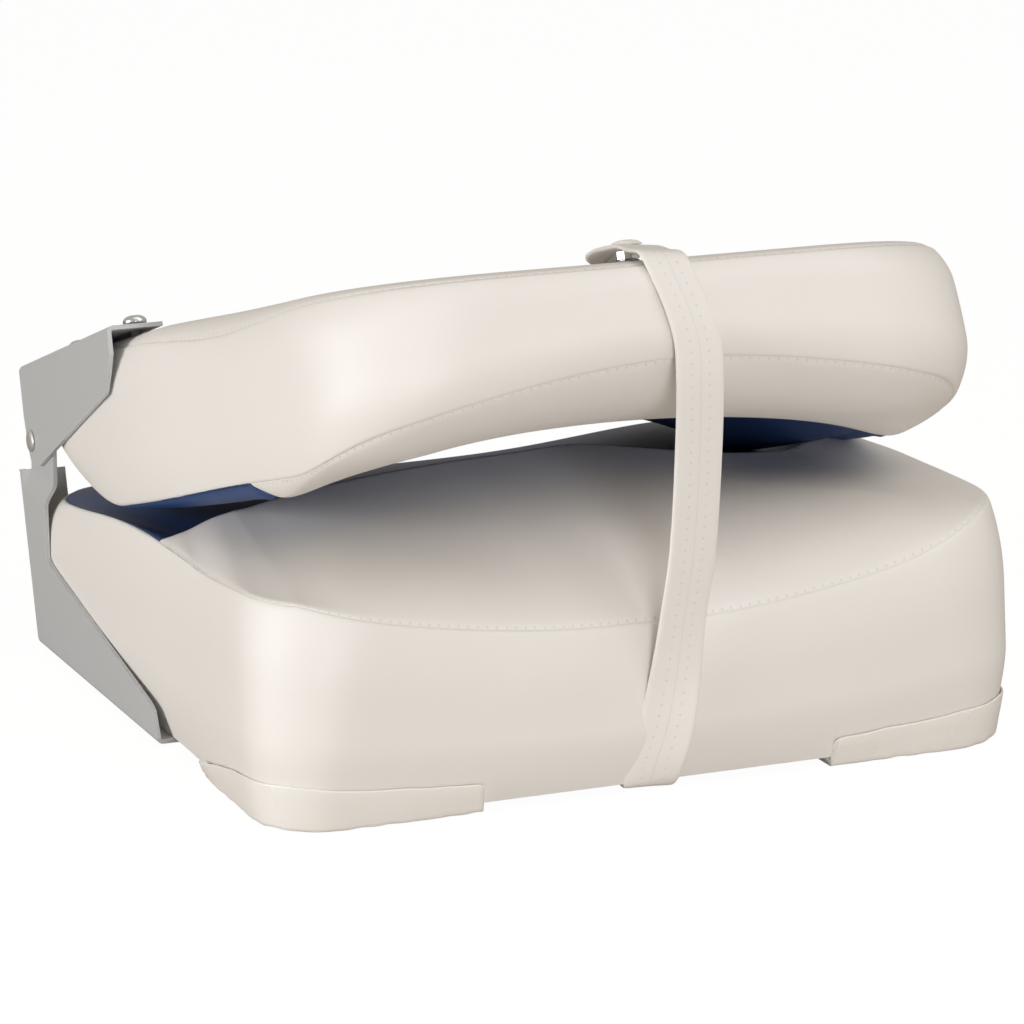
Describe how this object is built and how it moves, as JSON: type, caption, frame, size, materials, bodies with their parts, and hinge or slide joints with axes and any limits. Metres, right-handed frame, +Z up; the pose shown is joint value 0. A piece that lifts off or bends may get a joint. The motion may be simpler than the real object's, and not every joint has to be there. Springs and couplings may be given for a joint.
{
  "type": "folding boat seat",
  "caption": "Padded boat seat folded flat: two-tone vinyl cushions hinged on painted steel brackets and held shut by a snap strap.",
  "frame": {"origin": "centre of the bounding box on the floor plane", "axes": "+X to the sitter's left as the front is looked at from -Y, -Y to the seat's front, +Z up; the hinges are at +Y"},
  "size_m": [0.4162, 0.4149, 0.2715],
  "materials": {
    "white_vinyl": "satin grained vinyl",
    "blue_vinyl": "satin grained vinyl",
    "foam": "open-cell foam",
    "shell_plastic": "moulded",
    "guard_plastic": "moulded",
    "bracket_paint": "satin paint",
    "plywood": "raw",
    "zinc": "zinc plated",
    "brass": "turned"
  },
  "bodies": {
    "seat": {"bracket_insert_left_front": "brass", "bracket_insert_left_rear": "brass", "bracket_insert_right_front": "brass", "bracket_insert_right_rear": "brass", "corner_guard_left": "guard_plastic", "corner_guard_right": "guard_plastic", "corner_guard_screw_left_front": "zinc", "corner_guard_screw_left_rear": "zinc", "corner_guard_screw_right_front": "zinc", "corner_guard_screw_right_rear": "zinc", "lower_bracket_left": "bracket_paint", "lower_bracket_right": "bracket_paint", "lower_bracket_screw_left_front": "zinc", "lower_bracket_screw_left_rear": "zinc", "lower_bracket_screw_right_front": "zinc", "lower_bracket_screw_right_rear": "zinc", "mount_insert_1": "brass", "mount_insert_2": "brass", "mount_insert_3": "brass", "mount_insert_4": "brass", "pivot_rivet_left": "zinc", "pivot_rivet_right": "zinc", "pivot_washer_left": "zinc", "pivot_washer_right": "zinc", "seat_cover_boxing": "white_vinyl", "seat_cover_front": "white_vinyl", "seat_cover_rear": "blue_vinyl", "seat_foam": "foam", "seat_shell": "shell_plastic", "strap_anchor_end": "white_vinyl", "strap_anchor_screw": "zinc"},
    "backrest": {"back_board": "plywood", "back_cover_boxing": "white_vinyl", "back_cover_lumbar": "blue_vinyl", "back_cover_roll": "white_vinyl", "back_foam": "foam", "back_rear_pad": "foam", "back_rear_panel": "white_vinyl", "back_tee_nut_left_front": "zinc", "back_tee_nut_left_rear": "zinc", "back_tee_nut_right_front": "zinc", "back_tee_nut_right_rear": "zinc", "snap_stud": "zinc", "upper_bracket_left": "bracket_paint", "upper_bracket_right": "bracket_paint", "upper_bracket_screw_left_front": "zinc", "upper_bracket_screw_left_rear": "zinc", "upper_bracket_screw_right_front": "zinc", "upper_bracket_screw_right_rear": "zinc"},
    "strap_run": {"strap_run": "white_vinyl"},
    "strap_end": {"snap_cap": "zinc", "snap_socket": "zinc", "strap_free_end": "white_vinyl"}
  },
  "joints": [
    {"name": "back_fold", "type": "hinge", "parent": "seat", "child": "backrest", "pos_m": [0, 0.1825, 0.115], "axis": [-1, 0, 0], "range_deg": [0, 96], "deforming": ["strap_run", "strap_free_end", "snap_socket", "snap_cap"]},
    {"name": "strap_fold", "type": "hinge", "parent": "seat", "child": "strap_run", "pos_m": [0, -0.186, 0.0033], "axis": [1, 0, 0], "range_deg": [0, 84]},
    {"name": "strap_curl", "type": "hinge", "parent": "strap_run", "child": "strap_end", "pos_m": [0, -0.185, 0.267], "axis": [1, 0, 0], "range_deg": [0, 100]}
  ],
  "couplings": [
    {"joint": "strap_fold", "follows": "back_fold", "ratio": 0.875},
    {"joint": "strap_curl", "follows": "back_fold", "ratio": 1.04}
  ]
}
